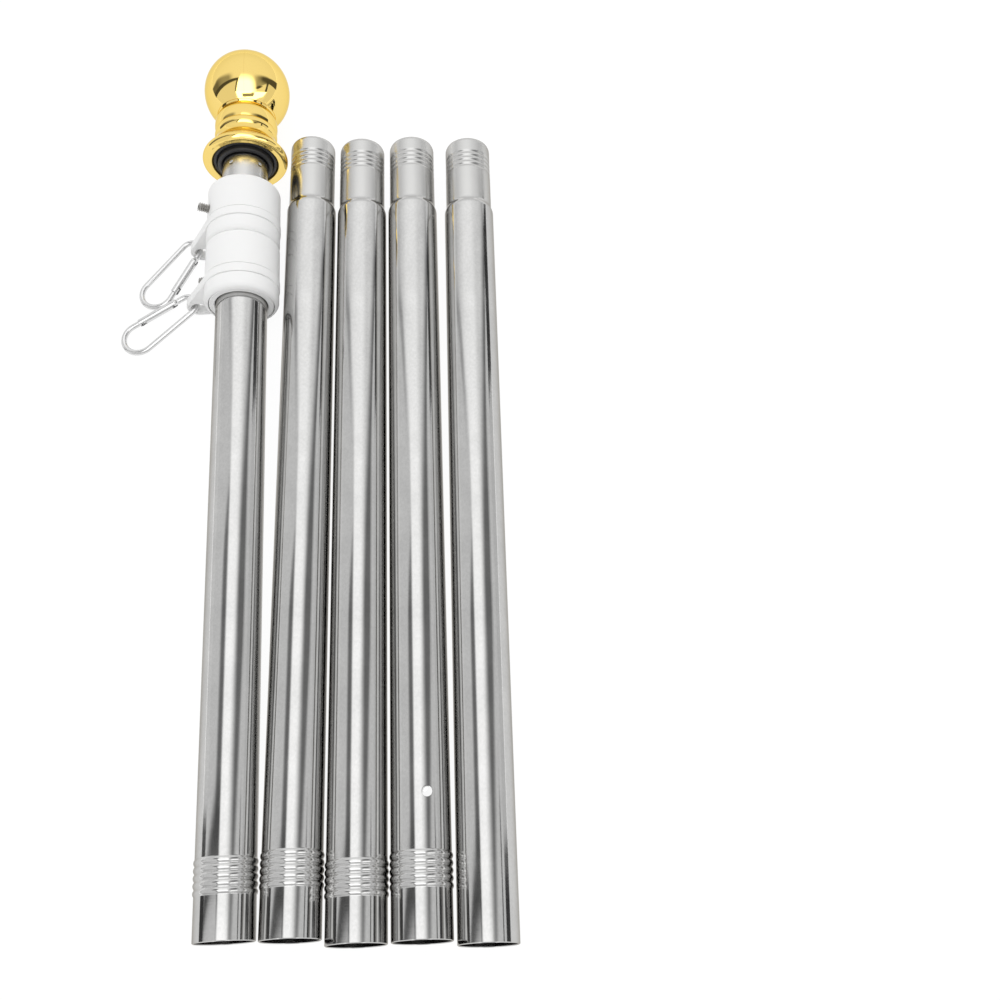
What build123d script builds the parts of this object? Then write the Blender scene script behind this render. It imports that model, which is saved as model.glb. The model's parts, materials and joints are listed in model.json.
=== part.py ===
from build123d import *
import math
import os

os.makedirs("parts", exist_ok=True)

# Each section and all that rides on it has its axis on Y and its foot at y = 0.
# Stations are measured up the axis from the foot, turns from straight up toward +X.

# Pole sections: one inch steel tube with a drawn-in spigot at the top.
tube_radius = 12.7
tube_wall = 0.8
section_length = 403.0
spigot_length = 38.5
shoulder_length = 3.9
socket_play = 0.15
foot_edge = 0.3
tip_taper = 0.4
tip_length = 1.5

# Rolled beads above each socket mouth, and fine rolled grooves behind the spigot's tip.
bead_count = 5
bead_pitch = 3.0
bead_height = 0.45
bead_roundness = 0.7
first_beads = (19.1, 21.1, 19.2, 21.3)
groove_count = 4
groove_pitch = 2.8
groove_depth = 0.32
groove_from_tip = 9.0

# Hole drilled through the fourth section, leaning up the pole and aside on its way down.
pin_hole_radius = 2.3
pin_hole_station = 57.6
pin_hole_turn = 15.8
pin_hole_lean = 11.1
pin_hole_swing = 3.0

# Two punched dimples in the top section's spigot.
dimple_radius = 2.2
dimple_depth = 0.45
dimple_from_tip = 23.0
dimple_turns = (-26.0, 50.0)

# How the sections lie: gap between beads, how far up the row each foot sits, and the last one's turn.
row_gap = 0.2
foot_stagger = (4.7, 4.2, 1.4, 1.6, -0.5)
base_section_turn = -0.5
neighbour_gap = 0.445

# Gold finial: ball, turned neck with two rolls, bell and rolled lip. Heights are from the lip's front.
finial_stand = 21.8
finial_play = 0.3
finial_floor = 1.5
core_wall = 2.75
ball_radius = 22.7
ball_wall = 1.2
ball_overhang = 0.275
seam_height = 31.4
neck_wall = 3.05
neck_groove_depth = 0.5
neck_groove_width = 1.7
upper_roll = 1.3
upper_roll_height = 20.2
roll_groove = 0.65
lower_roll = 1.2
lower_roll_height = 15.5
bell_top = 0.7
bell_step = 0.3
bell_hollow = 1.0
bell_rim = 3.4
bell_rim_height = 5.9
bell_band = 0.5
lip_rim = 5.25
lip_height = 3.0
lip_front_rim = 2.7
lip_edge = 1.4
recess_depth = 6.2

# Rubber ring in the finial's recess: a roll along the recess wall and a nose along the spigot.
rubber_width = 5.05
rubber_nose = 2.55
rubber_front = 1.4
rubber_edge = 2.4
rubber_crest = 0.9
rubber_valley = 1.8

# Swivel ring assemblies: collar with sleeve, ring with ear, retaining cap.
slide_play = 0.3
sleeve_wall = 3.0
collar_step = 2.5
collar_length = 20.0
collar_edge = 2.2
cap_length = 8.5
cap_groove_width = 0.4
cap_groove_depth = 2.4
cap_edge = 2.6
edge_break = 0.4
line_break = 0.2
finial_room = 19.3
assembly_gap = 0.3
ring_band = 5.3
ring_step = 0.3
swivel_play = 0.3
side_play = 0.25
ear_stand = 9.2
ear_hole_radius = 3.9
ear_wall = 2.4
ear_edge = 0.6
hole_edge = 0.5
table_gap = 0.2

# Set screws, one in each collar.
screw_radius = 2.4
screw_stand = 5.1
screw_height = 5.6
upper_screw_turn = -62.0
lower_screw_turn = -105.0

# Snap clips: pear of round wire with a sprung gate.
wire_radius = 1.45
narrow_inside = 3.75
wide_inside = 6.85
clip_span = 29.0
upper_clip_lean = 36.0
clips_gap = 0.43
hang_room = 1.05
steepest_hang = 40.0
halving_steps = 40
hinge_offset = 5.0
gate_radius = 2.0
gate_gap = 0.3
nose_length = 3.3
nose_reach = 3.1
tongue_thickness = 1.6
tongue_height = 2.2
tongue_root = 0.5
slot_play = 0.3
rivet_radius = 0.6
rivet_play = 0.08
rivet_proud = 0.15
catch_radius = 0.5
catch_play = 0.2
catch_inset = 1.4

socket_radius = tube_radius - tube_wall
spigot_radius = socket_radius - socket_play
inner_spigot_radius = spigot_radius - tube_wall
shoulder = section_length - spigot_length
tube_end = shoulder - shoulder_length
row_pitch = 2 * (tube_radius + bead_height) + row_gap

recess_radius = spigot_radius + rubber_width
finial_bore = spigot_radius + finial_play
core_radius = finial_bore - core_wall - finial_play
neck_radius = finial_bore + neck_wall
roll_groove_radius = neck_radius + roll_groove
bell_top_radius = neck_radius + bell_top
bell_rim_radius = recess_radius + bell_rim
lip_radius = recess_radius + lip_rim
lip_front = shoulder + finial_stand
lip_station = lip_front + lip_height
bell_foot = lip_front + bell_rim_height
lower_roll_foot = lip_front + lower_roll_height
upper_roll_foot = lip_front + upper_roll_height
seam_station = lip_front + seam_height
recess_floor = lip_front + recess_depth
ball_station = seam_station + math.sqrt(ball_radius**2 - (neck_radius + ball_overhang) ** 2)

sleeve_bore = tube_radius + slide_play
sleeve_radius = sleeve_bore + sleeve_wall
collar_radius = sleeve_radius + collar_step
ring_radius = collar_radius + ring_step
ear_reach = ring_radius + ear_stand
ear_tip_radius = ear_hole_radius + ear_wall
collar_base_height = cap_length + ring_band
assembly_length = collar_base_height + collar_length
upper_assembly_foot = lip_front - finial_room - assembly_length
lower_assembly_foot = upper_assembly_foot - assembly_gap - assembly_length
ring_middle = cap_length + ring_band / 2

narrow_radius = narrow_inside + wire_radius
wide_radius = wide_inside + wire_radius
hang_offset = ear_hole_radius - wire_radius - hang_room
clip_spread = math.asin((wide_radius - narrow_radius) / clip_span)

# The lower clip leans out until its gate passes beside the upper clip's wide end.
upper_lean = math.radians(upper_clip_lean)
wide_aside = clip_span * math.sin(upper_lean)
wide_above = assembly_length + assembly_gap - clip_span * math.cos(upper_lean)
passing = narrow_radius + wide_radius + wire_radius + gate_radius + clips_gap
gate_heading = math.atan2(wide_above, wide_aside) + math.acos(passing / math.hypot(wide_aside, wide_above))
lower_clip_lean = math.degrees(gate_heading - clip_spread)


def leaving(start, end):
    """Step for the arc that leaves start along the axis and bends to end."""
    bend = math.atan2(abs(end[0] - start[0]), abs(end[1] - start[1]))
    half = math.dist(start, end) / 2
    aside = math.copysign(half * math.tan(bend / 2), end[0] - start[0])
    through = (start[0] + aside, start[1] + math.copysign(half, end[1] - start[1]))
    return through, end


def arriving(start, end):
    """Step for the arc that bends from start and reaches end along the axis."""
    return leaving(end, start)[0], end


def wave(start, end, share=0.5):
    """Two arc steps that leave start and reach end along the axis, meeting at a share of the way."""
    meeting = tuple(a + share * (b - a) for a, b in zip(start, end))
    return [leaving(start, meeting), arriving(meeting, end)]


def outline(start, *steps):
    """Closed face from straight steps (x, y) and arc steps ((through), (end))."""
    edges = []
    here = start
    for step in steps:
        if isinstance(step[0], tuple):
            edges.append(ThreePointArc(here, step[0], step[1]))
            here = step[1]
        else:
            edges.append(Line(here, step))
            here = step
    edges.append(Line(here, start))
    return make_face(Wire(edges))


def turned(*steps):
    return revolve(outline(*steps), Axis.Y, 360)


def section(first_bead=None):
    """One pole section; the beads' first station is left out for the plain one."""
    steps = [(tube_radius, foot_edge)]
    if first_bead:
        crest = tube_radius + bead_height
        steps.append((tube_radius, first_bead - bead_pitch / 2))
        for index in range(bead_count):
            middle = first_bead + index * bead_pitch
            low, high = middle - bead_pitch / 2, middle + bead_pitch / 2
            steps += wave((tube_radius, low), (crest, middle), 1 - bead_roundness)
            steps += wave((crest, middle), (tube_radius, high), bead_roundness)
    steps.append((tube_radius, tube_end))
    steps += wave((tube_radius, tube_end), (spigot_radius, shoulder))
    valley = spigot_radius - groove_depth
    first_groove = section_length - groove_from_tip - (groove_count - 1) * groove_pitch
    steps.append((spigot_radius, first_groove - groove_pitch / 2))
    for index in range(groove_count):
        middle = first_groove + index * groove_pitch
        steps += wave((spigot_radius, middle - groove_pitch / 2), (valley, middle))
        steps += wave((valley, middle), (spigot_radius, middle + groove_pitch / 2))
    tip_start = (spigot_radius, section_length - tip_length)
    steps += [tip_start, leaving(tip_start, (spigot_radius - tip_taper, section_length))]
    steps.append((inner_spigot_radius, section_length))
    steps.append((inner_spigot_radius, shoulder))
    steps.append((socket_radius, tube_end))
    steps.append((socket_radius, foot_edge))
    steps.append((socket_radius + foot_edge, 0))
    return turned((tube_radius - foot_edge, 0), *steps)


def around(turn, radius, station):
    """Point at a turn from straight up toward +X round the pole axis."""
    angle = math.radians(turn)
    return (radius * math.sin(angle), station, radius * math.cos(angle))


def radial_rod(radius, start, end, turn, station):
    plane = Plane(origin=around(turn, start, station), z_dir=around(turn, 1, 0))
    return plane * extrude(Circle(radius), end - start)


beaded_sections = [section(first_bead) for first_bead in first_beads]

# Fourth section with its drilled hole.
drill = Rot(pin_hole_lean, pin_hole_swing, 0) * Cylinder(pin_hole_radius, 4 * tube_radius)
drilled_section = beaded_sections[3] - Pos(*around(pin_hole_turn, tube_radius, pin_hole_station)) * drill

# Top section: dimples that stop the finial turning.
top_section = beaded_sections[0]
for turn in dimple_turns:
    reach = spigot_radius + dimple_radius - dimple_depth
    centre = around(turn, reach, section_length - dimple_from_tip)
    top_section = top_section - Pos(*centre) * Sphere(dimple_radius)

# Finial.
socket_end = section_length + finial_play
ball = Sphere(ball_radius) - Sphere(ball_radius - ball_wall)
seat = Pos(0, seam_station - ball_station - ball_radius, 0) * Box(*[2 * ball_radius] * 3)
finial_ball = Pos(0, ball_station, 0) * (ball - seat)
groove_foot = seam_station - neck_groove_width
inner_lip = (recess_radius + lip_edge, lip_front)
finial_base = turned(
    (core_radius, seam_station),
    (neck_radius, seam_station),
    (neck_radius - neck_groove_depth, (seam_station + groove_foot) / 2),
    (neck_radius, groove_foot),
    ((neck_radius + upper_roll, (groove_foot + upper_roll_foot) / 2), (roll_groove_radius, upper_roll_foot)),
    (
        (neck_radius + lower_roll, (upper_roll_foot + lower_roll_foot) / 2),
        (bell_top_radius - bell_step, lower_roll_foot),
    ),
    (bell_top_radius, lower_roll_foot - bell_step),
    (
        ((bell_top_radius + bell_rim_radius) / 2 - bell_hollow, (lower_roll_foot + bell_foot) / 2),
        (bell_rim_radius, bell_foot),
    ),
    (bell_rim_radius, bell_foot - bell_band),
    ((lip_radius, lip_station), (recess_radius + lip_front_rim, lip_front)),
    inner_lip,
    arriving(inner_lip, (recess_radius, lip_front + lip_edge)),
    (recess_radius, recess_floor),
    (finial_bore, recess_floor),
    (finial_bore, socket_end),
    (core_radius, socket_end + finial_floor),
)
socket_floor = Pos(0, socket_end + finial_floor / 2, 0) * Rot(90, 0, 0)
finial_base = finial_base + socket_floor * Cylinder(finial_bore, finial_floor)
nose_radius = spigot_radius + rubber_nose
finial_grommet = turned(
    (recess_radius, recess_floor),
    (recess_radius, lip_front + rubber_edge),
    (
        ((recess_radius + nose_radius) / 2, lip_front + rubber_crest),
        (nose_radius, lip_front + rubber_valley),
    ),
    (nose_radius, lip_front),
    (((spigot_radius + nose_radius) / 2, lip_front - rubber_front), (spigot_radius, lip_front)),
    (spigot_radius, recess_floor),
)


def collar(foot, screw_turn):
    base = foot + collar_base_height
    top = base + collar_length
    body = turned(
        (sleeve_bore, foot + edge_break),
        (sleeve_bore + edge_break, foot),
        (sleeve_radius - edge_break, foot),
        (sleeve_radius, foot + edge_break),
        (sleeve_radius, base),
        (collar_radius - line_break, base),
        (collar_radius, base + line_break),
        (collar_radius, top - collar_edge),
        leaving((collar_radius, top - collar_edge), (collar_radius - collar_edge, top)),
        (sleeve_bore + edge_break, top),
        (sleeve_bore, top - edge_break),
    )
    return body - radial_rod(screw_radius, tube_radius, 2 * collar_radius, screw_turn, base + screw_height)


def cap(foot):
    """Retaining cap, with a thin groove round the sleeve's end."""
    top = foot + cap_length
    groove_radius = sleeve_radius + cap_groove_width
    return turned(
        (sleeve_radius, foot + cap_groove_depth),
        (groove_radius, foot + cap_groove_depth),
        (groove_radius, foot),
        arriving((groove_radius, foot), (collar_radius, foot + cap_edge)),
        (collar_radius, top - line_break),
        (collar_radius - line_break, top),
        (sleeve_radius, top),
    )


def set_screw(foot, turn):
    height = foot + collar_base_height + screw_height
    return radial_rod(screw_radius, sleeve_bore, collar_radius + screw_stand, turn, height)


def swivel_ring(foot, ear_turn):
    """Band with one ear, between collar and cap; ear_turn points the ear."""
    low = foot + cap_length + side_play
    thickness = ring_band - 2 * side_play
    ear = around(ear_turn, ear_reach, 0)
    ear_place = Pos(ear[0], ear[2])
    rim = Circle(ring_radius).edges() + (ear_place * Circle(ear_tip_radius)).edges()
    blank = extrude(make_hull(rim), thickness / 2, both=True)
    level = blank.faces().sort_by(Axis.Z)
    blank = fillet(level[0].edges() + level[-1].edges(), ear_edge)
    blank = blank - Cylinder(sleeve_radius + swivel_play, 3 * thickness)
    hole = ear_place * Cylinder(ear_hole_radius, 3 * thickness)
    blank = blank - hole
    level = blank.faces().sort_by(Axis.Z)
    mouths = [face.edges().sort_by_distance(Vector(ear[0], ear[2]))[0] for face in (level[0], level[-1])]
    blank = fillet(mouths, hole_edge)
    stand = Plane(origin=(0, low + thickness / 2, 0), x_dir=(1, 0, 0), z_dir=(0, -1, 0))
    return stand.location * blank


def clip_points(lean_turn, gate_side):
    """Centre-line of a clip in its own plane; it hangs in the ear hole at the origin, X points away."""
    lean = math.radians(lean_turn)
    along = Vector(math.sin(lean), -math.cos(lean))
    across = Vector(math.cos(lean), math.sin(lean)) * gate_side
    narrow = Vector(narrow_radius, 0)
    wide = narrow + along * clip_span
    gate_out = across * math.cos(clip_spread) - along * math.sin(clip_spread)
    spine_out = across * -math.cos(clip_spread) - along * math.sin(clip_spread)
    gate_near = narrow + gate_out * narrow_radius
    gate_far = wide + gate_out * wide_radius
    line = (gate_far - gate_near).normalized()
    return {
        "along": along,
        "narrow": narrow,
        "wide": wide,
        "spine_near": narrow + spine_out * narrow_radius,
        "spine_far": wide + spine_out * wide_radius,
        "gate_near": gate_near,
        "gate_far": gate_far,
        "gate_out": gate_out,
        "line": line,
        "pivot": gate_near + line * hinge_offset,
    }


def clip_bodies(lean_turn, gate_side):
    """Frame, gate and rivet of a clip, all in the clip's plane."""
    p = clip_points(lean_turn, gate_side)
    line = p["line"]
    reach = (p["gate_far"] - p["pivot"]).length
    gate_end = reach - nose_length - gate_gap
    start = p["pivot"] - line * (gate_radius + gate_gap)
    path = Wire([
        Line(start, p["gate_near"]),
        ThreePointArc(p["gate_near"], p["narrow"] - p["along"] * narrow_radius, p["spine_near"]),
        Line(p["spine_near"], p["spine_far"]),
        ThreePointArc(p["spine_far"], p["wide"] + p["along"] * wide_radius, p["gate_far"]),
        Line(p["gate_far"], p["gate_far"] - line * nose_length),
    ])
    wire = sweep(Plane(origin=start, z_dir=path % 0) * Circle(wire_radius), path=path)
    along_gate = Plane(origin=p["pivot"], x_dir=line, z_dir=(0, 0, 1))
    inward = -1 if along_gate.to_local_coords(p["pivot"] + p["gate_out"]).Y > 0 else 1

    # Flat tongues on the wire's two ends: one carries the gate, the other latches it.
    tail = gate_radius + gate_gap + tongue_root
    hinge_tongue = Pos(-tail / 2, 0, 0) * Box(tail, tongue_height, tongue_thickness)
    hinge_tongue += Cylinder(tongue_height / 2, tongue_thickness)
    hinge_tongue -= Cylinder(rivet_radius + rivet_play, 3 * tongue_thickness)
    nose_start = reach - nose_length + tongue_root
    nose_end = reach - nose_length - nose_reach
    nose = Pos((nose_start + nose_end) / 2, 0, 0) * Box(nose_start - nose_end, tongue_height, tongue_thickness)
    catch = gate_end - catch_inset
    notch = catch_radius + catch_play
    nose -= Pos(catch, 0, 0) * Cylinder(notch, 3 * tongue_thickness)
    nose -= Pos(catch, inward * tongue_height / 2, 0) * Box(2 * notch, tongue_height, 3 * tongue_thickness)
    frame = wire + along_gate.location * hinge_tongue + along_gate.location * nose

    # Round gate, slotted at both ends for the tongues, with a cross pin that drops in the notch.
    gate = Pos(gate_end / 2, 0, 0) * Rot(0, 90, 0) * Cylinder(gate_radius, gate_end) + Sphere(gate_radius)
    slot = tongue_thickness + 2 * slot_play
    hinge_slot = tongue_height / 2 + 2 * slot_play
    slot_start = -2 * gate_radius
    slot_middle = (slot_start + hinge_slot) / 2
    gate -= Pos(slot_middle, 0, 0) * Box(hinge_slot - slot_start, 3 * gate_radius, slot)
    nose_slot = gate_end - nose_end + 2 * slot_play
    gate -= Pos(gate_end, 0, 0) * Box(2 * nose_slot, 3 * gate_radius, slot)
    gate -= Cylinder(rivet_radius, 3 * gate_radius)
    gate += Pos(catch, 0, 0) * Cylinder(catch_radius, slot + 2 * slot_play)
    rivet = Cylinder(rivet_radius, 2 * (gate_radius + rivet_proud))
    return frame, along_gate.location * gate, along_gate.location * rivet, p["pivot"]


# The top section rests on its foot edge and on its widest piece, so its axis rises toward the ball.
lift = 0.0
for rest_radius, rest_station in (
    (ball_radius, ball_station),
    (lip_radius, lip_station),
    (ring_radius, lower_assembly_foot),
):
    lift = max(lift, math.atan2(rest_radius - tube_radius, rest_station))

# It also lies turned, so that its finial and rings pass beside the next section.
top_turn = 0.0
for side_radius, side_station, beside in (
    (lip_radius, lip_station, spigot_radius),
    (ring_radius, lower_assembly_foot, tube_radius),
):
    aside = side_radius + beside + neighbour_gap - row_pitch
    top_turn = max(top_turn, math.asin(aside / side_station))
pole_place = Pos(-2 * row_pitch, foot_stagger[0], tube_radius * math.cos(lift))
pole_place = pole_place * Rot(0, 0, math.degrees(top_turn)) * Rot(math.degrees(lift), 0, 0)


def lying_place(index):
    """Place of a beaded section that rests on its last bead and on the end of its full tube."""
    last_bead = first_beads[index] + (bead_count - 1) * bead_pitch
    slope = bead_height / (tube_end - last_bead)
    height = tube_radius + slope * tube_end
    return Pos((index - 2) * row_pitch, foot_stagger[index], height) * Rot(-math.degrees(slope), 0, 0)


def axis_height(station):
    return tube_radius * math.cos(lift) + station * math.sin(lift)


def ear_turn_at(station):
    """Ear points left and down until its tip is just clear of the table."""
    drop = (axis_height(station) - table_gap) / math.cos(lift) - ear_tip_radius
    return -90 - math.degrees(math.asin(drop / ear_reach))


def clip_slope(hole_height, lean_turn, gate_side):
    """Downward slope that lays the clip's far end on the table."""
    p = clip_points(lean_turn, gate_side)
    wide = p["wide"]
    far = p["gate_far"]
    low = 0.0
    high = math.radians(steepest_hang)
    for _ in range(halving_steps):
        slope = (low + high) / 2
        fall = math.sin(slope) * math.cos(lift)
        rise = math.sin(lift)
        run = math.hypot(rise, fall)
        wide_low = hole_height + wide.Y * rise - wide.X * fall - wide_radius * run - wire_radius
        gate_low = hole_height + far.Y * rise - far.X * fall - gate_radius
        if min(wide_low, gate_low) > table_gap:
            low = slope
        else:
            high = slope
    return low


def clip_set(foot, lean_turn, gate_side):
    station = foot + ring_middle
    turn = ear_turn_at(station)
    hole = around(turn, ear_reach, station)
    seat = (hole[0] - hang_offset, station, hole[2])
    height = axis_height(station) + hole[2] * math.cos(lift)
    slope = clip_slope(height, lean_turn, gate_side)
    away = (-math.cos(slope), 0, -math.sin(slope))
    down = (math.sin(slope), 0, -math.cos(slope))
    plane = Plane(origin=seat, x_dir=away, z_dir=down)
    frame, gate, rivet, pivot = clip_bodies(lean_turn, gate_side)
    return {
        "turn": turn,
        "seat": seat,
        "frame": plane.location * frame,
        "gate": plane.location * gate,
        "rivet": plane.location * rivet,
        "pivot": tuple(plane.from_local_coords(pivot)),
        "middle": tuple(plane.from_local_coords(clip_points(lean_turn, gate_side)["wide"])),
        "normal": down,
    }


upper = clip_set(upper_assembly_foot, upper_clip_lean, -1)
lower = clip_set(lower_assembly_foot, lower_clip_lean, 1)

pole_parts = {
    "top_section": top_section,
    "finial_ball": finial_ball,
    "finial_base": finial_base,
    "finial_grommet": finial_grommet,
    "upper_collar": collar(upper_assembly_foot, upper_screw_turn),
    "upper_cap": cap(upper_assembly_foot),
    "upper_set_screw": set_screw(upper_assembly_foot, upper_screw_turn),
    "upper_swivel_ring": swivel_ring(upper_assembly_foot, upper["turn"]),
    "upper_clip_frame": upper["frame"],
    "upper_clip_gate": upper["gate"],
    "upper_clip_rivet": upper["rivet"],
    "lower_collar": collar(lower_assembly_foot, lower_screw_turn),
    "lower_cap": cap(lower_assembly_foot),
    "lower_set_screw": set_screw(lower_assembly_foot, lower_screw_turn),
    "lower_swivel_ring": swivel_ring(lower_assembly_foot, lower["turn"]),
    "lower_clip_frame": lower["frame"],
    "lower_clip_gate": lower["gate"],
    "lower_clip_rivet": lower["rivet"],
}
section_places = {
    "top_section": pole_place,
    "section_two": lying_place(1),
    "section_three": lying_place(2),
    "section_four": lying_place(3),
    "base_section": Pos(2 * row_pitch, foot_stagger[4], tube_radius) * Rot(0, 0, base_section_turn),
}
parts = {name: pole_place * shape for name, shape in pole_parts.items()}
parts["section_two"] = section_places["section_two"] * beaded_sections[1]
parts["section_three"] = section_places["section_three"] * beaded_sections[2]
parts["section_four"] = section_places["section_four"] * drilled_section
parts["base_section"] = section_places["base_section"] * section()

# The kit is centred on its footprint, with the table at z = 0.
extent = Compound(list(parts.values())).bounding_box()
centring = Pos(-extent.center().X, -extent.center().Y, -extent.min.Z)
for name, shape in parts.items():
    export_step((centring * shape).solid(), "parts/" + name + ".step")


def report(label, place, point, direction):
    """Prints a point in metres and a unit direction, both in the kit's frame."""
    start = (centring * place * Pos(*point)).position
    end = (centring * place * Pos(*(Vector(*point) + Vector(*direction)))).position
    print(label, [round(v / 1000, 6) for v in start], [round(v, 6) for v in (end - start).normalized()])


for name, place in section_places.items():
    report(name, place, (0, 0, 0), (0, -1, 0))
for label, clip, foot in (("upper", upper, upper_assembly_foot), ("lower", lower, lower_assembly_foot)):
    report(label + "_ring", pole_place, (0, foot + ring_middle, 0), (0, 1, 0))
    report(label + "_clip", pole_place, clip["seat"], (0, 1, 0))
    report(label + "_clip_middle", pole_place, clip["middle"], (0, 1, 0))
    report(label + "_gate", pole_place, clip["pivot"], clip["normal"])
print("size", extent.size)
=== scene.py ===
import json
import math
import bpy
from mathutils import Matrix, Vector


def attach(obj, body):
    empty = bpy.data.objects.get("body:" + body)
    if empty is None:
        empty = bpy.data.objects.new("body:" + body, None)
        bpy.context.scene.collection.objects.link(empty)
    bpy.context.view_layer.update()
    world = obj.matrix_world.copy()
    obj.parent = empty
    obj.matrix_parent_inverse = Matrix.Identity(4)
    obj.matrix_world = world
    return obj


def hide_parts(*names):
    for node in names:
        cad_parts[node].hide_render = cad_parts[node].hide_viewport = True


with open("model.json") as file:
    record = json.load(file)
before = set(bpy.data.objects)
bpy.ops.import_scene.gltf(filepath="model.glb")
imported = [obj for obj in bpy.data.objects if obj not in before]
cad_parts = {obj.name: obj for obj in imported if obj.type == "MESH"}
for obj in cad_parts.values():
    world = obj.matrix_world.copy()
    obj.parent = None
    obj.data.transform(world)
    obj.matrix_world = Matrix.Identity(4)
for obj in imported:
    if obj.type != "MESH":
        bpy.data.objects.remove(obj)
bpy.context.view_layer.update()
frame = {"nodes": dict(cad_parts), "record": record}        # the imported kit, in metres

record = frame["record"]
print("frame loaded:", len(frame["nodes"]), "nodes")

sides = ("upper", "lower")        # the two ring assemblies
tubeNodes = {             # each pole section and the mount in its foot
    "top_section": "top_socket",
    "section_two": "second_socket",
    "section_three": "third_socket",
    "section_four": "fourth_socket",
    "base_section": "base_socket",
}


def mountNamed(name):
    return next(mount for mount in record["mounts"] if mount["name"] == name)


# small helpers for node materials

noiseSpread = (0.3, 0.7)        # most of a noise texture's values lie between these


def newMaterial(name):
    material = bpy.data.materials.new(name)
    material.use_nodes = True
    shader = material.node_tree.nodes["Principled BSDF"]
    return material, material.node_tree, shader


def addNode(tree, kind, **settings):
    node = tree.nodes.new(kind)
    for key, value in settings.items():
        setattr(node, key, value)
    return node


def objectCoordinates(tree, location=(0, 0, 0), rotation=(0, 0, 0)):
    coordinates = addNode(tree, "ShaderNodeTexCoord")
    mapping = addNode(tree, "ShaderNodeMapping", vector_type="TEXTURE")
    mapping.inputs["Location"].default_value = location
    mapping.inputs["Rotation"].default_value = rotation
    tree.links.new(coordinates.outputs["Object"], mapping.inputs["Vector"])
    return mapping.outputs["Vector"]


def stretchedNoise(tree, vector, scale, detail, roughness=0.55):
    mapping = addNode(tree, "ShaderNodeMapping")
    mapping.inputs["Scale"].default_value = scale
    tree.links.new(vector, mapping.inputs["Vector"])
    noise = addNode(tree, "ShaderNodeTexNoise")
    noise.inputs["Scale"].default_value = 1.0
    noise.inputs["Detail"].default_value = detail
    noise.inputs["Roughness"].default_value = roughness
    tree.links.new(mapping.outputs["Vector"], noise.inputs["Vector"])
    return noise.outputs["Fac"]


def evenNoise(tree, vector, scale, detail):
    return stretchedNoise(tree, vector, (scale, scale, scale), detail)


def remap(tree, value, fromRange, toRange):
    node = addNode(tree, "ShaderNodeMapRange")
    node.inputs["From Min"].default_value, node.inputs["From Max"].default_value = fromRange
    node.inputs["To Min"].default_value, node.inputs["To Max"].default_value = toRange
    tree.links.new(value, node.inputs["Value"])
    return node.outputs["Result"]


def combine(tree, operation, first, second):
    node = addNode(tree, "ShaderNodeMath", operation=operation)
    for socket, value in zip(node.inputs, (first, second)):
        if isinstance(value, (int, float)):
            socket.default_value = value
        else:
            tree.links.new(value, socket)
    return node.outputs["Value"]


def distanceAlong(tree, vector, direction):
    node = addNode(tree, "ShaderNodeVectorMath", operation="DOT_PRODUCT")
    node.inputs[1].default_value = direction
    tree.links.new(vector, node.inputs[0])
    return node.outputs["Value"]


def lengthOf(tree, vector):
    node = addNode(tree, "ShaderNodeVectorMath", operation="LENGTH")
    tree.links.new(vector, node.inputs[0])
    return node.outputs["Value"]


def mixColours(tree, factor, first, second):
    node = addNode(tree, "ShaderNodeMix", data_type="RGBA")
    for socket, colour in ((node.inputs["A"], first), (node.inputs["B"], second)):
        if isinstance(colour, tuple):
            socket.default_value = colour
        else:
            tree.links.new(colour, socket)
    tree.links.new(factor, node.inputs["Factor"])
    return node.outputs["Result"]


def bumpFrom(tree, shader, height, distance):
    node = addNode(tree, "ShaderNodeBump")
    node.inputs["Strength"].default_value = 1.0
    node.inputs["Distance"].default_value = distance
    tree.links.new(height, node.inputs["Height"])
    tree.links.new(node.outputs["Normal"], shader.inputs["Normal"])


def dressNode(nodeName, material):
    node = frame["nodes"][nodeName]
    for slot in node.material_slots:
        slot.material = material


# stainless tube

tubeFinish = {
    "footEdge": 0.0003,                 # the foot's broken edge, before the socket starts
    "spigotStart": 0.3645,              # the duller, drawn-in spigot starts here
    "spigotBlend": (-0.001, 0.002),
    "blotchSpread": (0.32, 0.68),
    "polishedRoughness": (0.06, 0.12),
    "spigotRoughness": 0.15,
    "mottleSpread": (0.36, 0.64),
    "blotchShare": 0.6,                 # of blotches in the mottle; specks are the rest
    "speckShare": 0.4,
    "paleSteel": (0.59, 0.588, 0.582, 1),
    "darkSteel": (0.515, 0.514, 0.509, 1),
    "spigotSteel": (0.58, 0.578, 0.57, 1),
    "edgeTint": (0.55, 0.53, 0.5, 1),
    "blotchScale": (90.0, 55.0, 90.0),
    "blotchRoughness": 0.6,
    "speckScale": (900.0, 650.0, 900.0),
    "polishingScale": (70.0, 2600.0, 70.0),
    "polishingDepth": 0.0000022,
}


def tubePlace(tree, mountName):
    # Coordinates that start at the tube's foot, with Y up its axis.
    mount = mountNamed(mountName)
    outward = Vector(mount["axis"])
    halfLength = mount["dims"]["length_mm"] / 1000 / 2
    foot = Vector(mount["pos_m"]) + outward * (halfLength + tubeFinish["footEdge"])
    up = -outward
    turn = (math.asin(up.z), 0, math.atan2(-up.x, up.y))
    return objectCoordinates(tree, foot, turn)


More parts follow.
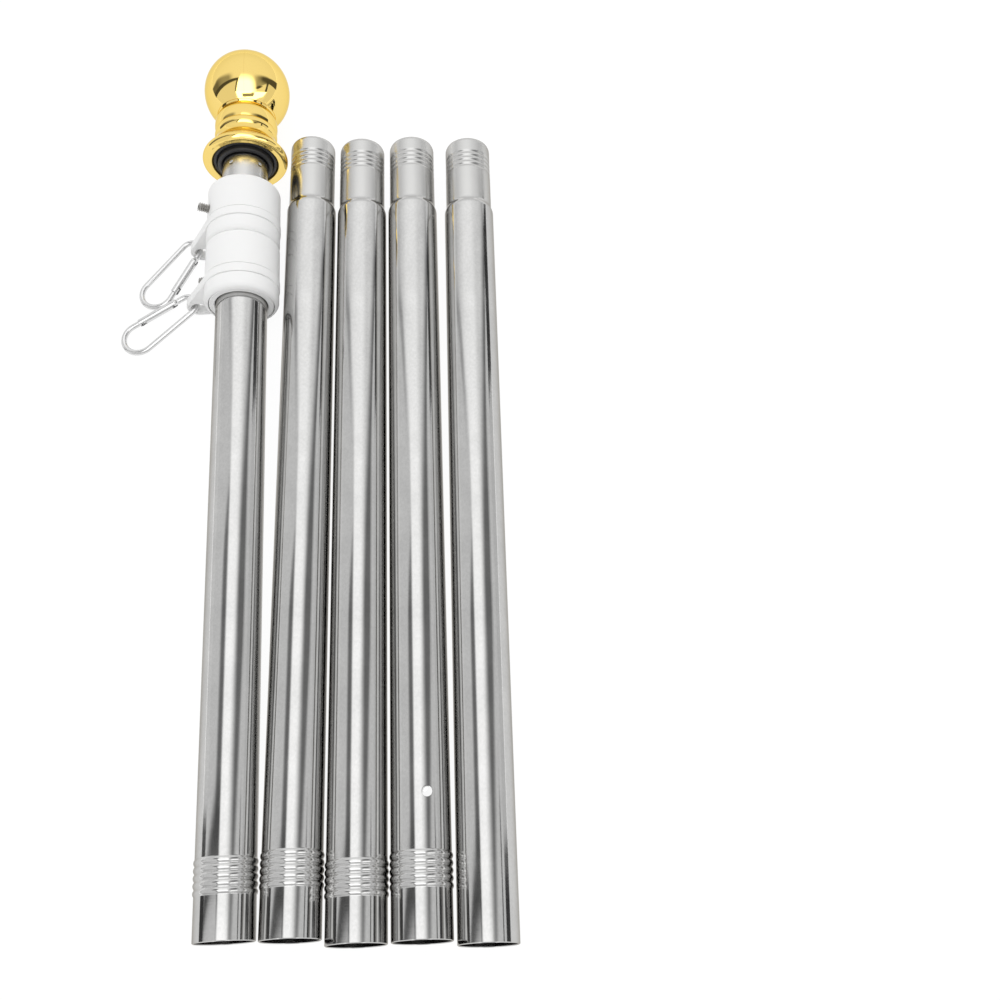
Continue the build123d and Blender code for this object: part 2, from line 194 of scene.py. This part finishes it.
def stainlessTube(nodeName, mountName):
    material, tree, shader = newMaterial("stainless_" + nodeName)
    place = tubePlace(tree, mountName)
    blotches = stretchedNoise(
        tree, place, tubeFinish["blotchScale"], detail=5, roughness=tubeFinish["blotchRoughness"])
    specks = stretchedNoise(tree, place, tubeFinish["speckScale"], detail=3)
    polishing = stretchedNoise(tree, place, tubeFinish["polishingScale"], detail=3)
    split = addNode(tree, "ShaderNodeSeparateXYZ")
    tree.links.new(place, split.inputs["Vector"])
    blend = [tubeFinish["spigotStart"] + offset for offset in tubeFinish["spigotBlend"]]
    onSpigot = remap(tree, split.outputs["Y"], blend, (0, 1))
    polish = remap(tree, blotches, tubeFinish["blotchSpread"], tubeFinish["polishedRoughness"])
    matt = combine(tree, "MULTIPLY", onSpigot, tubeFinish["spigotRoughness"])
    tree.links.new(combine(tree, "ADD", polish, matt), shader.inputs["Roughness"])
    mottle = combine(
        tree, "ADD",
        combine(tree, "MULTIPLY", blotches, tubeFinish["blotchShare"]),
        combine(tree, "MULTIPLY", specks, tubeFinish["speckShare"]))
    tone = remap(tree, mottle, tubeFinish["mottleSpread"], (0, 1))
    colour = mixColours(tree, tone, tubeFinish["darkSteel"], tubeFinish["paleSteel"])
    colour = mixColours(tree, onSpigot, colour, tubeFinish["spigotSteel"])
    tree.links.new(colour, shader.inputs["Base Color"])
    shader.inputs["Metallic"].default_value = 1.0
    shader.inputs["Specular Tint"].default_value = tubeFinish["edgeTint"]
    bumpFrom(tree, shader, polishing, tubeFinish["polishingDepth"])
    return material


for nodeName, mountName in tubeNodes.items():
    dressNode(nodeName, stainlessTube(nodeName, mountName))
print("steel sections dressed")


# gold plating

goldFinish = {
    "paleGold": (0.93, 0.7, 0.235, 1),
    "deepGold": (0.9, 0.665, 0.2, 1),
    "cloudScale": 40.0,
    "roughness": (0.03, 0.06),
    "edgeTint": (0.85, 0.78, 0.55, 1),
    "waveScale": 250.0,
    "orangePeel": 0.0000015,
    "partingTurn": 6.0,                      # degrees round the pole from straight up
    "partingWidth": (0.00005, 0.00025),      # the faint line between the ball's two halves
    "partingStrength": 0.25,
    "partingGold": (0.72, 0.47, 0.13, 1),
}


def partingLine(tree, place):
    mount = mountNamed("top_socket")
    axis = -Vector(mount["axis"])
    turn = Matrix.Rotation(math.radians(goldFinish["partingTurn"]), 3, axis)
    side = turn @ axis.cross((0, 0, 1)).normalized()
    middle = side.dot(Vector(mount["pos_m"]))
    offset = combine(tree, "SUBTRACT", distanceAlong(tree, place, side), middle)
    distance = combine(tree, "ABSOLUTE", offset, 0.0)
    return remap(tree, distance, goldFinish["partingWidth"], (goldFinish["partingStrength"], 0.0))


def goldPlating(name, parted):
    material, tree, shader = newMaterial(name)
    place = objectCoordinates(tree)
    waves = evenNoise(tree, place, goldFinish["waveScale"], detail=2)
    cloud = evenNoise(tree, place, goldFinish["cloudScale"], detail=2)
    colour = mixColours(tree, cloud, goldFinish["deepGold"], goldFinish["paleGold"])
    if parted:
        colour = mixColours(tree, partingLine(tree, place), colour, goldFinish["partingGold"])
    tree.links.new(colour, shader.inputs["Base Color"])
    roughness = remap(tree, cloud, noiseSpread, goldFinish["roughness"])
    tree.links.new(roughness, shader.inputs["Roughness"])
    shader.inputs["Metallic"].default_value = 1.0
    shader.inputs["Specular Tint"].default_value = goldFinish["edgeTint"]
    bumpFrom(tree, shader, waves, goldFinish["orangePeel"])
    return material


dressNode("finial_ball", goldPlating("gold_ball", parted=True))
dressNode("finial_base", goldPlating("gold_base", parted=False))


# rubber, plastic, wire and screws: grain gives roughness and bump, patches vary the colour

rubberFinish = {
    "colours": ((0.012, 0.012, 0.013, 1), (0.03, 0.03, 0.032, 1)),
    "patchScale": 1800.0,
    "grainScale": 1800.0,
    "detail": 2,
    "roughness": (0.38, 0.55),
    "bump": 0.00001,
    "metallic": 0.0,
    "specular": 0.5,
}
plasticFinish = {
    "colours": ((0.91, 0.91, 0.905, 1), (0.94, 0.94, 0.935, 1)),
    "patchScale": 55.0,
    "grainScale": 2200.0,
    "detail": 2,
    "roughness": (0.38, 0.5),
    "bump": 0.000006,
    "metallic": 0.0,
    "specular": 0.4,
}
wireFinish = {
    "colours": ((0.62, 0.62, 0.62, 1), (0.78, 0.78, 0.78, 1)),
    "patchScale": 900.0,
    "grainScale": 900.0,
    "detail": 3,
    "roughness": (0.16, 0.28),
    "bump": 0.000004,
    "metallic": 1.0,
    "specular": 0.5,
}
screwFinish = {
    "colours": ((0.36, 0.355, 0.34, 1), (0.6, 0.59, 0.57, 1)),
    "patchScale": 1500.0,
    "grainScale": 1500.0,
    "detail": 3,
    "roughness": (0.28, 0.42),
    "bump": 0.0,
    "metallic": 1.0,
    "specular": 0.5,
}


def grainedFinish(name, finish):
    material, tree, shader = newMaterial(name)
    place = objectCoordinates(tree)
    patches = evenNoise(tree, place, finish["patchScale"], finish["detail"])
    grain = evenNoise(tree, place, finish["grainScale"], finish["detail"])
    tree.links.new(mixColours(tree, patches, *finish["colours"]), shader.inputs["Base Color"])
    roughness = remap(tree, grain, noiseSpread, finish["roughness"])
    tree.links.new(roughness, shader.inputs["Roughness"])
    shader.inputs["Metallic"].default_value = finish["metallic"]
    shader.inputs["Specular IOR Level"].default_value = finish["specular"]
    if finish["bump"]:
        bumpFrom(tree, shader, grain, finish["bump"])
    return material


dressNode("finial_grommet", grainedFinish("black_rubber", rubberFinish))
plastic = grainedFinish("white_plastic", plasticFinish)
wire = grainedFinish("bright_wire", wireFinish)
for side in sides:
    for piece in ("collar", "cap", "swivel_ring"):
        dressNode(side + "_" + piece, plastic)
    for piece in ("clip_frame", "clip_gate", "clip_rivet"):
        dressNode(side + "_" + piece, wire)
print("finial, rings and clips dressed")


# set screws, with the threads and hex sockets that the solids leave out

setScrew = {
    "crest": 0.00238,
    "pitch": 0.0011,
    "depth": 0.0007,
    "stepsPerTurn": 24,
    "spareTurns": 3,
    "mergeDistance": 0.00001,
    "keySize": 0.0013,
    "keyDepth": 0.0022,
    "endGap": 0.00004,
    "smoothAngle": 30.0,
}
screwBodies = {"upper": "pole_row", "lower": "lower_collar_body"}


def onlyActive(piece):
    bpy.ops.object.mode_set(mode="OBJECT")
    bpy.ops.object.select_all(action="DESELECT")
    piece.select_set(True)
    bpy.context.view_layer.objects.active = piece


def applyModifiers(piece):
    for modifier in list(piece.modifiers):
        bpy.ops.object.modifier_apply(modifier=modifier.name)


def threadProfile(name):
    # A triangle as wide as the pitch; its inner side is deleted, so one thread's outline is left.
    pitch, depth, crest = setScrew["pitch"], setScrew["depth"], setScrew["crest"]
    radius = depth / 1.5        # such a triangle is 1.5 times its radius high
    bpy.ops.object.select_all(action="DESELECT")
    bpy.ops.mesh.primitive_circle_add(vertices=3, radius=radius)
    screw = bpy.context.object
    screw.name = name
    bpy.ops.object.mode_set(mode="EDIT")
    bpy.ops.mesh.select_all(action="SELECT")
    widening = pitch / math.sqrt(3) / radius
    bpy.ops.transform.resize(value=(widening, 1, 1), center_override=(0, 0, 0))
    bpy.ops.transform.translate(value=(0, crest - radius, 0))
    bpy.ops.mesh.select_all(action="DESELECT")
    bpy.ops.object.mode_set(mode="OBJECT")
    for edge in screw.data.edges:
        edge.select = all(screw.data.vertices[i].co.y < crest - depth / 2 for i in edge.vertices)
    bpy.ops.object.mode_set(mode="EDIT")
    bpy.ops.mesh.select_mode(type="EDGE")
    bpy.ops.mesh.delete(type="EDGE")
    onlyActive(screw)
    return screw


def windThread(screw, length):
    winding = screw.modifiers.new("winding", "SCREW")
    winding.axis = "X"
    winding.screw_offset = setScrew["pitch"]
    winding.iterations = int(length / setScrew["pitch"]) + setScrew["spareTurns"]
    winding.steps = winding.render_steps = setScrew["stepsPerTurn"]
    winding.use_merge_vertices = True
    winding.merge_threshold = setScrew["mergeDistance"]
    applyModifiers(screw)
    bpy.ops.object.mode_set(mode="EDIT")
    bpy.ops.mesh.select_all(action="SELECT")
    middle = sum(vertex.co.x for vertex in screw.data.vertices) / len(screw.data.vertices)
    bpy.ops.transform.translate(value=(-middle, 0, 0))


def cutEnds(screw, length):
    for end in (-1, 1):
        bpy.ops.mesh.select_all(action="SELECT")
        bpy.ops.mesh.bisect(
            plane_co=(end * length / 2, 0, 0), plane_no=(end, 0, 0), use_fill=True, clear_outer=True)
    bpy.ops.mesh.select_all(action="SELECT")
    bpy.ops.mesh.normals_make_consistent(inside=False)
    onlyActive(screw)


def cutSocket(screw, length):
    bpy.ops.object.select_all(action="DESELECT")
    bpy.ops.mesh.primitive_cylinder_add(
        vertices=6, radius=setScrew["keySize"], depth=2 * setScrew["keyDepth"],
        location=(length / 2, 0, 0), rotation=(0, math.pi / 2, 0))
    key = bpy.context.object
    bpy.ops.object.transform_apply(location=True, rotation=True, scale=True)
    onlyActive(screw)
    socket = screw.modifiers.new("socket", "BOOLEAN")
    socket.operation = "DIFFERENCE"
    socket.object = key
    applyModifiers(screw)
    bpy.data.objects.remove(key)


def threadedScrew(name, centre, outward, length):
    screw = threadProfile(name)
    windThread(screw, length)
    cutEnds(screw, length)
    cutSocket(screw, length)
    turn = outward.to_track_quat("X", "Z").to_matrix().to_4x4()
    screw.matrix_world = Matrix.Translation(centre) @ turn
    onlyActive(screw)
    bpy.ops.object.transform_apply(location=True, rotation=True, scale=True)
    bpy.ops.object.shade_smooth_by_angle(angle=math.radians(setScrew["smoothAngle"]))
    return screw


def screwPlace(nodeName):
    # The plain screw's middle, the way it points out of the collar, and its length.
    node = frame["nodes"][nodeName]
    corners = [node.matrix_world @ vertex.co for vertex in node.data.vertices]
    centre = sum(corners, Vector()) / len(corners)
    mount = mountNamed("top_socket")
    poleFoot, poleAxis = Vector(mount["pos_m"]), Vector(mount["axis"])
    outward = centre - poleFoot
    outward = (outward - poleAxis * outward.dot(poleAxis)).normalized()
    reach = [(corner - centre).dot(outward) for corner in corners]
    centre += outward * (max(reach) + min(reach)) / 2
    return centre, outward, max(reach) - min(reach) - setScrew["endGap"]


darkSteel = grainedFinish("screw_steel", screwFinish)
for side, body in screwBodies.items():
    screw = threadedScrew(side + "ThreadedScrew", *screwPlace(side + "_set_screw"))
    screw.data.materials.append(darkSteel)
    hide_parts(side + "_set_screw")
    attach(screw, body)
print("set screws threaded")


# floor and world

floorSetting = {
    "size": 6.0,
    "drop": 0.0002,                # just under the lowest piece
    "grey": 0.11,                  # with the glow, this holds the object's soft shadow
    "roughness": 0.9,
    "glow": (0.93, 1.0),
    "glowReach": (0.45, 1.0),
    "plainGrey": 0.8,              # the floor's own colour, where rays aren't shown the glow
}
worldSetting = {
    "horizon": (0.012, 0.03),      # how far the bright band at floor level reaches up
    "glow": (0.9, 0.06),           # in that band and outside it
}


def layFloor():
    bpy.ops.object.select_all(action="DESELECT")
    bpy.ops.mesh.primitive_plane_add(
        size=floorSetting["size"], location=(0, 0, -floorSetting["drop"]))
    floor = bpy.context.object
    floor.name = "floor"
    material, tree, shader = newMaterial("pale_floor")
    shader.inputs["Base Color"].default_value = (floorSetting["grey"],) * 3 + (1,)
    shader.inputs["Roughness"].default_value = floorSetting["roughness"]
    shader.inputs["Specular IOR Level"].default_value = 0.0
    glow = addNode(tree, "ShaderNodeEmission")
    distance = lengthOf(tree, objectCoordinates(tree))
    brightness = remap(tree, distance, floorSetting["glowReach"], floorSetting["glow"])
    tree.links.new(brightness, glow.inputs["Strength"])
    pale = addNode(tree, "ShaderNodeAddShader")
    tree.links.new(shader.outputs["BSDF"], pale.inputs[0])
    tree.links.new(glow.outputs["Emission"], pale.inputs[1])
    plain = addNode(tree, "ShaderNodeBsdfDiffuse")
    plain.inputs["Color"].default_value = (floorSetting["plainGrey"],) * 3 + (1,)
    rays = addNode(tree, "ShaderNodeLightPath")
    shown = combine(tree, "MAXIMUM", rays.outputs["Is Camera Ray"], rays.outputs["Is Glossy Ray"])
    shown = combine(tree, "MAXIMUM", shown, rays.outputs["Is Transmission Ray"])
    choose = addNode(tree, "ShaderNodeMixShader")
    tree.links.new(shown, choose.inputs["Fac"])
    tree.links.new(plain.outputs["BSDF"], choose.inputs[1])
    tree.links.new(pale.outputs["Shader"], choose.inputs[2])
    output = tree.nodes["Material Output"]
    tree.links.new(choose.outputs["Shader"], output.inputs["Surface"])
    floor.data.materials.append(material)


def lightWorld():
    world = bpy.data.worlds.new("studio")
    bpy.context.scene.world = world
    world.use_nodes = True
    tree = world.node_tree
    background = tree.nodes["Background"]
    background.inputs["Color"].default_value = (1, 1, 1, 1)
    rays = addNode(tree, "ShaderNodeLightPath")
    direction = addNode(tree, "ShaderNodeTexCoord")
    split = addNode(tree, "ShaderNodeSeparateXYZ")
    tree.links.new(direction.outputs["Generated"], split.inputs["Vector"])
    rise = combine(tree, "ABSOLUTE", split.outputs["Z"], 0.0)
    band = remap(tree, rise, worldSetting["horizon"], worldSetting["glow"])
    strength = combine(tree, "MAXIMUM", band, rays.outputs["Is Camera Ray"])
    tree.links.new(strength, background.inputs["Strength"])


layFloor()
lightWorld()
print("floor laid")


# Painted ceilings: one large lamp each, whose panels show in the metal as a real studio's would.
# Each panel is painted over those before it. An edge is a point, the way out and a softness.

sail = {
    "height": 1.0,
    "middle": (0.0, 0.45),
    "origin": (0.0, 0.0),         # panels are measured from here, in units
    "unit": 1.0,
    "size": (5.6, 3.7),
    "glow": (                     # distance from the origin and brightness there
        (0.0, 1.54), (0.35, 1.47), (0.65, 1.34), (0.95, 1.24),
        (1.4, 0.98), (1.9, 0.86), (2.8, 0.7)),
}
panels = {
    "rear": {"level": 0.95, "edges": (
        ((0, 1.35), (0, -1), 0.25),
        ((-0.6, 0), (-1, 0), 0.4),
        ((0.6, 0), (1, 0), 0.4))},
    "left": {"level": 0.79, "edges": (
        ((-0.31, 0.3), (1, 0), 0.1),
        ((-0.5, 0.66), (0.53, 0.85), 0.07))},
    "left gap": {"level": 0.4, "edges": (
        ((-1.0, 1.0), (0.555, 0.832), 0.04),
        ((-1.0, 0.88), (-0.555, -0.832), 0.04),
        ((-0.75, 1.0), (1, 0), 0.4))},
    "left shadow": {"level": 0.16, "edges": (
        ((-0.32, 0.2), (1, 0), 0.1),
        ((-0.7, 0.2), (-1, 0), 0.16),
        ((-0.6, 0.37), (-0.1, 1), 0.04))},
    "left bar": {"level": 0.05, "edges": (
        ((-0.33, 0), (1, 0), 0.05),
        ((0, 0), (0, 1), 0.04))},
    "left front": {"level": 0.8, "edges": (
        ((-0.4, 0), (1, 0), 0.03),
        ((0, -0.12), (0, 1), 0.03))},
    "right half tone": {"level": 0.92, "edges": (
        ((0.42, 0.5), (-1, 0), 0.26),
        ((0, 1.0), (0, 1), 0.3),
        ((0, 0.3), (0, -1), 0.1))},
    "right shadow": {"level": 0.16, "edges": (
        ((1.0, 0.84), (-0.65, 0.76), 0.14),
        ((0.39, 0), (-1, 0), 0.3))},
    "right": {"level": 0.54, "edges": (
        ((1.3, 0.5), (-1, 0), 0.16),
        ((1.5, 1.0), (-0.64, 0.77), 0.05))},
    "right outer": {"level": 0.78, "edges": (
        ((1.58, 0.5), (-1, 0), 0.04),
        ((1.5, 1.0), (-0.64, 0.77), 0.05))},
    "right low": {"level": 0.78, "edges": (
        ((1.1, 0.2), (-0.65, 0.76), 0.14),
        ((0, 0.4), (0, 1), 0.1))},
    "right bar": {"level": 0.05, "edges": (
        ((1.55, 0), (-1, 0), 0.03),
        ((1.8, 0), (1, 0), 0.03),
        ((0, 0.15), (0, 1), 0.08),
        ((0, -0.35), (0, -1), 0.05))},
    "front lamp": {"level": 2.0, "edges": (
        ((-0.34, -0.4), (-1, -0.25), 0.05),
        ((0.38, -0.4), (1, 0), 0.06),
        ((0, -0.2), (0, 1), 0.1),
        ((0, -0.68), (0, -1), 0.03))},
    "right lamp": {"level": 2.1, "edges": (
        ((0.55, -0.7), (-1, 0.3), 0.03),
        ((1.5, -0.7), (1, -0.1), 0.03),
        ((0, -0.46), (0.1, 1), 0.04),
        ((0, -0.95), (0, -1), 0.04))},
}
goldSail = {                      # shown only by the finial's mirror finish
    "height": 0.373,
    "middle": (-0.034, 0.2),
    "origin": (-0.034, 0.2),
    "unit": 0.35,                 # its height above the ball
    "size": (60.0, 60.0),
    "glow": ((0.0, 0.98), (0.5, 0.96), (1.5, 0.94), (4.0, 0.9)),
}
goldPanels = {
    "left shade": {"level": 0.3, "edges": (
        ((0, 0), (0, -1), 0.03),
        ((-1.5, 0.55), (0.3, 1), 0.16),
        ((0, 0.95), (0, 1), 0.2),
        ((-0.55, 0), (1, 0), 0.2))},
    "left shade far": {"level": 0.1, "edges": (
        ((0, 0), (0, -1), 0.03),
        ((-2, 0.6), (0.2, 1), 0.3),
        ((-1.9, 0), (1, 0), 0.9))},
    "left panel": {"level": 0.82, "edges": (
        ((-0.77, -0.19), (-0.14, 1), 0.03),
        ((-0.35, -0.43), (0.938, -0.345), 0.02))},
    "left bar": {"level": 0.02, "edges": (
        ((0, 0), (0, 1), 0.03),
        ((-0.77, -0.185), (0.14, -1), 0.03),
        ((-0.24, 0), (1, 0), 0.03))},
    "short bar": {"level": 0.03, "edges": (
        ((-0.215, -0.1), (0.938, -0.345), 0.02),
        ((-0.285, -0.1), (-0.938, 0.345), 0.02),
        ((0, -0.76), (0, -1), 0.03),
        ((0, 0), (0, 1), 0.02))},
    "right shade": {"level": 0.36, "edges": (
        ((0.55, 0), (-1, 0), 0.25),
        ((0.7, 0.25), (-0.4, 1), 0.14),
        ((0.7, -0.56), (0.53, -0.85), 0.05),
        ((0, -0.5), (0, -1), 0.1),
        ((1.85, 0), (1, 0), 0.2))},
    "right dark": {"level": 0.03, "edges": (
        ((0.9, 0.2), (-1, 0), 0.3),
        ((1.2, 0.42), (-0.42, 1), 0.12),
        ((1.2, 0), (0.06, -1), 0.2))},
    "right panel": {"level": 0.8, "edges": (
        ((2.25, 0.2), (-1, -0.35), 0.03),
        ((2.3, 0.21), (-0.12, 1), 0.04))},
    "right post": {"level": 0.02, "edges": (
        ((1.72, 0.3), (-1, -0.14), 0.05),
        ((2.14, 0), (1, 0.38), 0.03),
        ((0, -0.74), (0, -1), 0.04),
        ((0, 0.4), (0, 1), 0.04))},
    "right bar": {"level": 0.03, "edges": (
        ((0, -0.3), (0, 1), 0.05),
        ((0.7, -0.68), (0.53, -0.85), 0.03),
        ((0.7, -0.44), (-0.53, 0.85), 0.06),
        ((0, -0.56), (0, -1), 0.03),
        ((0.5, 0), (-1, 0), 0.03),
        ((1.95, 0), (1, 0), 0.05))},
    "zenith": {"level": 3.4, "edges": (
        ((-0.19, -0.1), (-0.938, 0.345), 0.02),
        ((0.42, 0), (0.9, 0.35), 0.22),
        ((0, 0.02), (0, 1), 0.24),
        ((0, -0.8), (0, -1), 0.05))},
    "front lamp": {"level": 3.8, "edges": (
        ((-0.47, -0.8), (-1, 0), 0.04),
        ((0.5, -0.8), (1, 0), 0.05),
        ((0, -0.7), (0, 1), 0.05),
        ((0, -1.4), (0, -1), 0.05))},
    "right lamp": {"level": 3.4, "edges": (
        ((0.68, -0.85), (-0.8, 0.5), 0.04),
        ((0, -0.78), (0, 1), 0.04),
        ((2.3, -1.0), (1, -0.4), 0.06),
        ((1.3, -1.6), (0.16, -1), 0.06))},
    "beside lamps": {"level": 0.3, "edges": (
        ((-0.1, -1), (-1, 0), 0.05),
        ((0.72, -1), (1, 0), 0.05),
        ((0, -0.88), (0, 1), 0.04),
        ((0, -1.2), (0, -1), 0.05))},
}
softboxes = {
    "rear_wall": {
        "centre": (0.0, 2.3, 0.5), "facing": (0, -1, 0), "width": 5.6, "brightness": 0.9,
    },
    "left_wall": {
        "centre": (-2.8, 1.25, 0.5), "facing": (1, 0, 0), "width": 2.1, "brightness": 0.85,
    },
    "right_wall": {
        "centre": (2.8, 0.9, 0.5), "facing": (-1, 0, 0), "width": 1.4, "brightness": 0.7,
    },
    "left_front_wall": {
        "centre": (-2.8, -0.85, 0.5), "facing": (1, 0, 0), "width": 1.1, "brightness": 0.85,
    },
    "right_front_wall": {
        "centre": (2.8, -0.85, 0.5), "facing": (-1, 0, 0), "width": 1.1, "brightness": 0.6,
    },
    "front_wall": {
        "centre": (0.0, -1.4, 0.5), "facing": (0, 1, 0), "width": 5.6, "brightness": 0.6,
    },
}
wallHeight = 1.0


def addLamp(name, size, brightness):
    light = bpy.data.lights.new(name, "AREA")
    light.shape = "RECTANGLE"
    light.size, light.size_y = size
    light.energy = brightness * math.pi * light.size * light.size_y
    lamp = bpy.data.objects.new(name, light)
    lamp.visible_camera = False
    bpy.context.collection.objects.link(lamp)
    return lamp


def openGlow(tree, flat, steps):
    # Brightness that falls away from the ceiling's origin, step by step.
    reach = lengthOf(tree, flat)
    strength = steps[0][1]
    for (near, bright), (far, dim) in zip(steps, steps[1:]):
        fall = remap(tree, reach, (near, far), (0.0, dim - bright))
        strength = combine(tree, "ADD", fall, strength)
    return strength


def panelWindow(tree, flat, edges):
    # 1 inside all of the panel's edges, 0 outside any of them.
    window = 1.0
    for point, out, softness in edges:
        out = Vector((*out, 0)).normalized()
        edge = Vector((*point, 0)).dot(out)
        crossing = (edge - softness, edge + softness)
        inside = remap(tree, distanceAlong(tree, flat, out), crossing, (1.0, 0.0))
        inside.node.interpolation_type = "SMOOTHSTEP"
        window = combine(tree, "MULTIPLY", inside, window)
    return window


def hangSail(name, ceiling, ceilingPanels):
    lamp = addLamp(name, ceiling["size"], 1.0)
    lamp.location = (*ceiling["middle"], ceiling["height"])
    lamp.data.use_nodes = True
    tree = lamp.data.node_tree
    unit = ceiling["unit"]
    flat = addNode(tree, "ShaderNodeVectorMath", operation="MULTIPLY_ADD")
    flat.inputs[1].default_value = (1 / unit, 1 / unit, 0)
    flat.inputs[2].default_value = (*(-value / unit for value in ceiling["origin"]), 0)
    position = addNode(tree, "ShaderNodeNewGeometry").outputs["Position"]
    tree.links.new(position, flat.inputs[0])
    spot = flat.outputs["Vector"]
    strength = openGlow(tree, spot, ceiling["glow"])
    for panel in ceilingPanels.values():
        window = panelWindow(tree, spot, panel["edges"])
        change = combine(tree, "SUBTRACT", panel["level"], strength)
        strength = combine(tree, "ADD", strength, combine(tree, "MULTIPLY", window, change))
    tree.links.new(strength, tree.nodes["Emission"].inputs["Strength"])
    return lamp


def standWall(name, wall):
    lamp = addLamp(name, (wall["width"], wallHeight), wall["brightness"])
    facing = Vector(wall["facing"])
    up = Vector((0, 0, 1))
    turn = Matrix((up.cross(-facing), up, -facing)).transposed().to_4x4()
    lamp.matrix_world = Matrix.Translation(wall["centre"]) @ turn
    return lamp


def lightOnly(lamp, objects, state):
    receivers = bpy.data.collections.new(lamp.name + "_" + state.lower())
    for receiver in objects:
        receivers.objects.link(receiver)
    for entry in receivers.collection_objects:
        entry.light_linking.link_state = state
    lamp.light_linking.receiver_collection = receivers


goldNodes = [frame["nodes"]["finial_ball"], frame["nodes"]["finial_base"]]
lightOnly(hangSail("sail", sail, panels), goldNodes, "EXCLUDE")
lightOnly(hangSail("gold_sail", goldSail, goldPanels), goldNodes, "INCLUDE")
for name, wall in softboxes.items():
    lightOnly(standWall(name, wall), goldNodes, "EXCLUDE")
print("lamps hung")


# camera

cameraSetting = {
    "lens": 43.08,
    "sensorWidth": 36,
    "location": (0.08315, -0.26905, 0.52229),
    "pitch": 24.66,
    "turn": -2.388,
}


def setCamera():
    camera = bpy.data.cameras.new("camera")
    camera.lens = cameraSetting["lens"]
    camera.sensor_width = cameraSetting["sensorWidth"]
    holder = bpy.data.objects.new("camera", camera)
    bpy.context.collection.objects.link(holder)
    holder.location = cameraSetting["location"]
    pitch, turn = math.radians(cameraSetting["pitch"]), math.radians(cameraSetting["turn"])
    holder.rotation_euler = (pitch, 0, turn)
    bpy.context.scene.camera = holder


setCamera()
bpy.context.scene.view_settings.view_transform = "Standard"
print("studio set")
